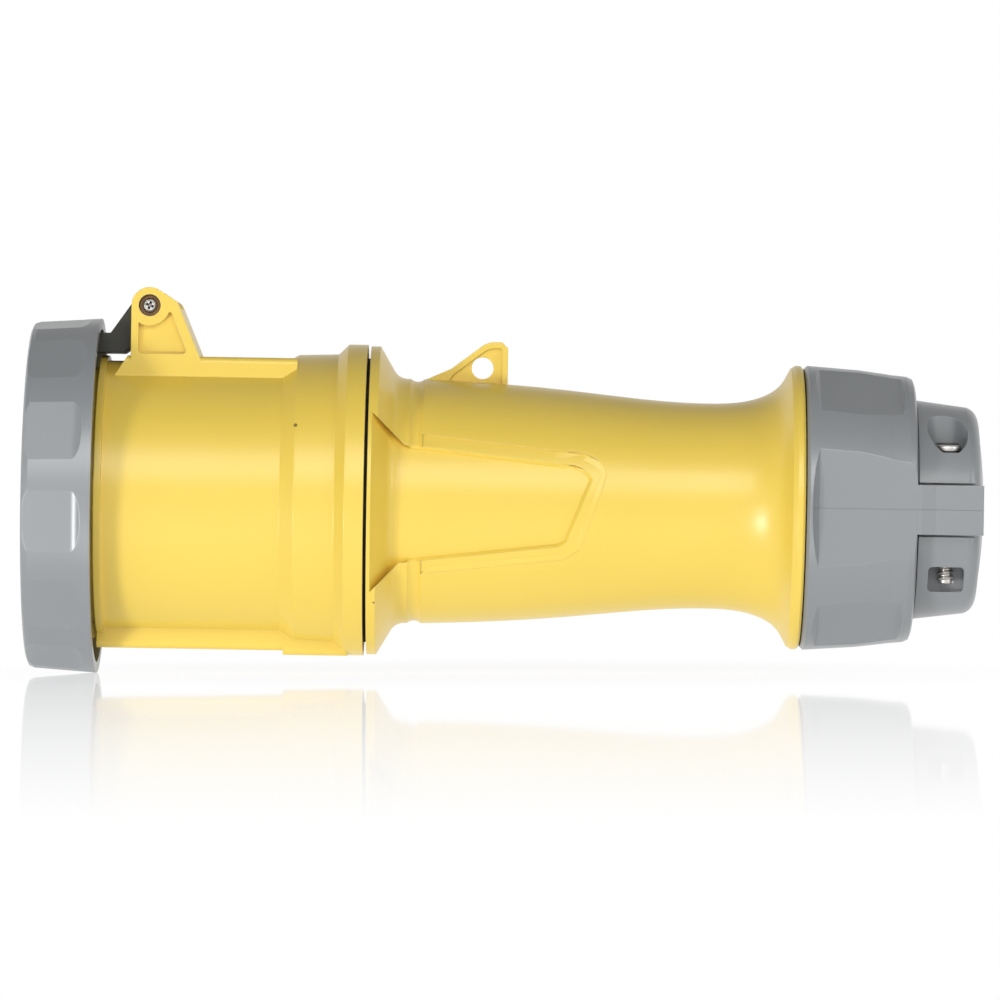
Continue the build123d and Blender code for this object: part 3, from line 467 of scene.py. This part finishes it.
def addHingePin():
    low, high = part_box("hinge_pin")
    head = screwHead(hingePin)
    placeInMesh(head, turn=(0, 0, hingePin["headTurn"]))
    shank = bar(hingePin["shankRadius"], low.y - high.y, modelling["overlap"], hingePin["end"])
    pin = joinPieces([head, shank])
    middle = ((low.x + high.x) / 2, low.y, (low.z + high.z) / 2)
    placeInMesh(pin, middle, (math.pi / 2, 0, 0))
    finishPiece(pin, "hingePin", "shell", "steel")
    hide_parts("hinge_pin")


# Shallow thread on the grip's end, under the nut
gripThread = {
    "coreRadius": 0.035, "threadDepth": 0.00028, "threadWidth": 0.0022, "sink": 0.0001,
    "pitch": 0.003, "turns": 6, "steps": 96, "startX": 0.2195,
}


def addGripThread():
    thread = threadRidge(gripThread)
    placeInMesh(thread, (gripThread["startX"], 0, 0), (0, math.pi / 2, 0))
    finishPiece(thread, "gripThread", "shell", "yellow_plastic", modelling["curvedAngle"])


def sliceMesh(direction, start, end, step):
    # Cuts across the whole mesh every step, so that it can follow a curved surface
    for cut in range(1, round((end - start) / step)):
        bpy.ops.mesh.select_all(action="SELECT")
        bpy.ops.mesh.bisect(plane_co=direction * (start + cut * step), plane_no=direction)


def layOn(strip, node, limit=0.0):
    # Moves every corner of the strip along y to the surface of a CAD node. A limit of 0 is none.
    applyModifier(strip, "SHRINKWRAP", {
        "target": nodes[node], "wrap_method": "PROJECT", "use_project_x": False,
        "use_project_y": True, "use_project_z": False, "use_negative_direction": True,
        "use_positive_direction": True, "project_limit": limit})


# Parting line that the mould leaves along the nut's flats and straps
mouldLine = {"width": 0.00020, "height": 0.00003, "startX": 0.2178, "endX": 0.2686, "cuts": 160}


def addMouldLine(side):
    length = mouldLine["endX"] - mouldLine["startX"]
    middle = (mouldLine["endX"] + mouldLine["startX"]) / 2
    deselectAll()
    bpy.ops.mesh.primitive_plane_add(size=1)
    line = bpy.context.object
    bpy.ops.object.mode_set(mode="EDIT")
    bpy.ops.transform.resize(value=(length, mouldLine["width"], 1))
    pickFaces(line, lambda centre, normal: True)
    bpy.ops.object.mode_set(mode="OBJECT")
    placeInMesh(line, (middle, side * modelling["startDistance"], 0), (side * -math.pi / 2, 0, 0))
    selectOnly(line)
    bpy.ops.object.mode_set(mode="EDIT")
    sliceMesh(Vector((1, 0, 0)), mouldLine["startX"], mouldLine["endX"],
              length / mouldLine["cuts"])
    bpy.ops.object.mode_set(mode="OBJECT")
    layOn(line, "gland_nut")
    applyModifier(line, "SOLIDIFY", {"thickness": 2 * mouldLine["height"], "offset": 0.0})
    finishPiece(line, "mouldLineNear" if side < 0 else "mouldLineFar", "gland", "grey_plastic")


# Drafted walls round the grip's sunk side panel and its pad. Corners are (x, z) seen from the
# side. The cuts that let a wall follow the grip run between the limits alongX and alongZ.
drafted = {
    "outset": 0.00006, "step": 0.0015, "thickness": 0.0003, "blank": 0.2, "blankX": 0.13,
    "endShare": 0.6, "reach": 0.05,
}
panelWall = {
    "name": "panelWall", "width": 0.0010, "alongX": (0.0990, 0.1440), "alongZ": (-0.0105, 0.0060),
    "corners": [(0.0980, 0.0166), (0.1460, 0.0114), (0.1490, 0.01097), (0.1515, 0.00992),
                (0.1530, 0.00870), (0.1538, 0.00726), (0.1465, -0.0114), (0.1442, -0.0128),
                (0.0968, -0.0184)],
}
padWall = {
    "name": "padWall", "width": 0.0019, "alongX": (0.1036, 0.1435), "alongZ": (-0.0120, 0.0072),
    "corners": [(0.0980, 0.0204), (0.1460, 0.0152), (0.1510, 0.01480), (0.1553, 0.01296),
                (0.1573, 0.01090), (0.15798, 0.00878), (0.15068, -0.0133), (0.14572, -0.0166),
                (0.0968, -0.0222)],
}


def cutAway(point, outward):
    # Cuts the mesh at a plane and drops the side that outward points to
    bpy.ops.mesh.select_all(action="SELECT")
    bpy.ops.mesh.bisect(plane_co=point, plane_no=outward, clear_outer=True, use_fill=False)


def addWall(wall, side):
    # A flat face is trimmed to the outline. Its rim is kept, but for the end at the flange, and
    # laid on the grip along y.
    deselectAll()
    bpy.ops.mesh.primitive_plane_add(size=drafted["blank"], location=(drafted["blankX"], 0, 0))
    strip = bpy.context.object
    placeInMesh(strip, strip.location.copy())
    bpy.ops.object.mode_set(mode="EDIT")
    for first, second in zip(wall["corners"], wall["corners"][1:]):
        along = Vector((second[0] - first[0], -side * (second[1] - first[1]), 0)).normalized()
        outward = Vector((-along.y, along.x, 0)) * -side
        cutAway(Vector((first[0], -side * first[1], 0)) + outward * drafted["outset"], outward)
    cutAway((wall["alongX"][0], 0, 0), (-1, 0, 0))
    bpy.ops.mesh.select_all(action="SELECT")
    bpy.ops.mesh.inset(thickness=wall["width"])
    bpy.ops.mesh.delete(type="FACE")
    endX = wall["alongX"][0] + drafted["endShare"] * wall["width"]
    pickFaces(strip, lambda centre, normal: centre.x < endX)
    bpy.ops.mesh.delete(type="FACE")
    sliceMesh(Vector((1, 0, 0)), *wall["alongX"], drafted["step"])
    sliceMesh(Vector((0, -side, 0)), *wall["alongZ"], drafted["step"])
    bpy.ops.object.mode_set(mode="OBJECT")
    placeInMesh(strip, (0, side * modelling["startDistance"], 0), (-side * math.pi / 2, 0, 0))
    layOn(strip, "rear_housing", drafted["reach"])
    applyModifier(strip, "SOLIDIFY", {"thickness": drafted["thickness"], "offset": -1.0})
    name = wall["name"] + ("Near" if side < 0 else "Far")
    finishPiece(strip, name, "shell", "yellow_plastic", modelling["curvedAngle"])


addClampScrews()
addHingePin()
for side in (-1, 1):
    addWall(panelWall, side)
    addWall(padWall, side)
addGripThread()
addMouldLine(-1)
addMouldLine(1)
print("pieces modelled")


# Camera: level with the connector, rolled so that the nut end shows a little lower
view = {
    "middleX": 0.1265, "middleZ": 0.00075, "distance": 2.16, "frameWidth": 0.300,
    "sensor": 36.0, "roll": math.radians(0.985), "nearClip": 0.05, "farClip": 60.0,
}


def addCamera():
    bpy.ops.object.camera_add(location=(view["middleX"], -view["distance"], view["middleZ"]),
                              rotation=(math.pi / 2, -view["roll"], 0))
    camera = bpy.context.object
    camera.name = "photoCamera"
    camera.data.sensor_width = view["sensor"]
    camera.data.lens = view["sensor"] * view["distance"] / view["frameWidth"]
    camera.data.clip_start = view["nearClip"]
    camera.data.clip_end = view["farClip"]
    bpy.context.scene.camera = camera


addCamera()
print("camera placed")


# Stage: a white floor that mirrors the connector faintly, less the further a point lies from the
# connector's axis, and takes a light shadow round its middle. The floor rolls with the camera.
stage = {
    "drop": 0.05175, "size": 40.0, "mirror": 0.47, "mirrorRoughness": 0.03, "fadeLength": 1.0,
    "shadow": 0.12, "shadowReach": 0.20, "shadowFade": 0.14, "shadedGrey": 0.9, "glow": 1.0,
}
pureWhite = (1, 1, 1)


def floorMaterial():
    material, wire, surface = startMaterial("whiteFloor")
    place = wire.node("ShaderNodeTexCoord", output="Object")
    away = wire.node("ShaderNodeSeparateXYZ", {}, {0: place}, 1).math("ABSOLUTE")
    fade = ramp(wire, away, 0.0, stage["fadeLength"], stage["mirror"], 0.0)
    path = wire.tree.nodes.new("ShaderNodeLightPath").outputs
    seen = Wire(wire.tree, path["Is Camera Ray"])
    glossy = Wire(wire.tree, path["Is Glossy Ray"])
    white = wire.node("ShaderNodeEmission", {}, {"Color": rgba(pureWhite), "Strength": 1.0})
    shaded = wire.node("ShaderNodeBsdfDiffuse", {}, {"Color": rgba([stage["shadedGrey"]] * 3)})
    mirror = wire.node("ShaderNodeBsdfGlossy", {}, {
        "Color": rgba(pureWhite), "Roughness": stage["mirrorRoughness"]})
    bounce = wire.node("ShaderNodeEmission", {}, {
        "Color": rgba(pureWhite), "Strength": stage["glow"]})
    gap = wire.node("ShaderNodeVectorMath", {"operation": "LENGTH"}, {0: place}, 1)
    near = ramp(wire, gap, stage["shadowReach"] - stage["shadowFade"], stage["shadowReach"],
                stage["shadow"], 0.0)
    top = wire.node("ShaderNodeMixShader", {}, {0: near, 1: white, 2: shaded})
    top = wire.node("ShaderNodeMixShader", {}, {0: fade, 1: top, 2: mirror})
    both = wire.node("ShaderNodeMixShader", {}, {0: seen + glossy, 1: bounce, 2: top})
    wire.tree.links.new(both.socket, surface)
    return material


def addStage():
    roll = view["roll"]
    down = Vector((-math.sin(roll), 0, -math.cos(roll)))
    centre = Vector((view["middleX"], 0, view["middleZ"])) + down * stage["drop"]
    bpy.ops.mesh.primitive_plane_add(size=stage["size"], location=centre, rotation=(0, -roll, 0))
    floor = bpy.context.object
    floor.name = "floor"
    floor.data.materials.append(floorMaterial())
    floor.visible_shadow = False


# World: white to the camera and faint as light. Glossy surfaces mirror it white where the z of
# their view is under horizon, and as grey as ceiling where it is over ceilingEdge.
studio = {"ambient": 0.05, "ceiling": 0.55, "horizon": 0.38, "ceilingEdge": 0.62}


def addWorld():
    world = bpy.data.worlds.new("studio")
    bpy.context.scene.world = world
    world.use_nodes = True
    tree = world.node_tree
    tree.nodes.clear()
    wire = Wire(tree)
    path = tree.nodes.new("ShaderNodeLightPath").outputs
    direction = wire.node("ShaderNodeTexCoord", output="Generated")
    height = wire.node("ShaderNodeSeparateXYZ", {}, {0: direction}, 2)
    mirrored = ramp(wire, height, studio["horizon"], studio["ceilingEdge"], 1.0, studio["ceiling"])
    seen = Wire(tree, path["Is Camera Ray"]) + Wire(tree, path["Is Glossy Ray"]) * mirrored
    backdrop = wire.node("ShaderNodeBackground", {}, {
        "Color": rgba(pureWhite), "Strength": seen.math("MAXIMUM", studio["ambient"])})
    output = tree.nodes.new("ShaderNodeOutputWorld")
    tree.links.new(backdrop.socket, output.inputs["Surface"])


addStage()
addWorld()


# Lamps: a key from the lower left, a broad soft box above the camera, a small one at the right and
# one behind that lights the far side. A lamp without shine is kept out of reflections, because
# the floor would show it.
lamps = {
    "keyLamp": {
        "azimuth": -36.6, "elevation": -15.0, "distance": 1.7, "size": (0.26, 0.26), "watts": 10.4,
        "shine": True},
    "softBox": {
        "azimuth": 0.0, "elevation": 27.5, "distance": 1.6, "size": (1.6, 0.65), "watts": 12.8,
        "shine": True},
    "sideBox": {
        "azimuth": 60.0, "elevation": 20.0, "distance": 1.6, "size": (0.5, 0.5), "watts": 4.0,
        "shine": True},
    "backBox": {
        "azimuth": 180.0, "elevation": 12.0, "distance": 1.6, "size": (1.4, 0.9), "watts": 6.0,
        "shine": False},
}


def addLamp(name, lamp):
    turn = math.radians(lamp["azimuth"])
    lift = math.radians(lamp["elevation"])
    level = math.cos(lift)
    aim = Vector((view["middleX"], 0, 0))
    away = Vector((math.sin(turn) * level, -math.cos(turn) * level, math.sin(lift)))
    bpy.ops.object.light_add(type="AREA", location=aim + away * lamp["distance"])
    light = bpy.context.object
    light.name = name
    light.rotation_euler = away.to_track_quat("Z", "Y").to_euler()
    light.data.shape = "RECTANGLE"
    light.data.size = lamp["size"][0]
    light.data.size_y = lamp["size"][1]
    light.data.energy = lamp["watts"]
    light.visible_camera = False
    light.visible_glossy = lamp["shine"]


for lampName, lamp in lamps.items():
    addLamp(lampName, lamp)
print("stage and lamps placed")

bpy.context.scene.view_settings.view_transform = "Standard"
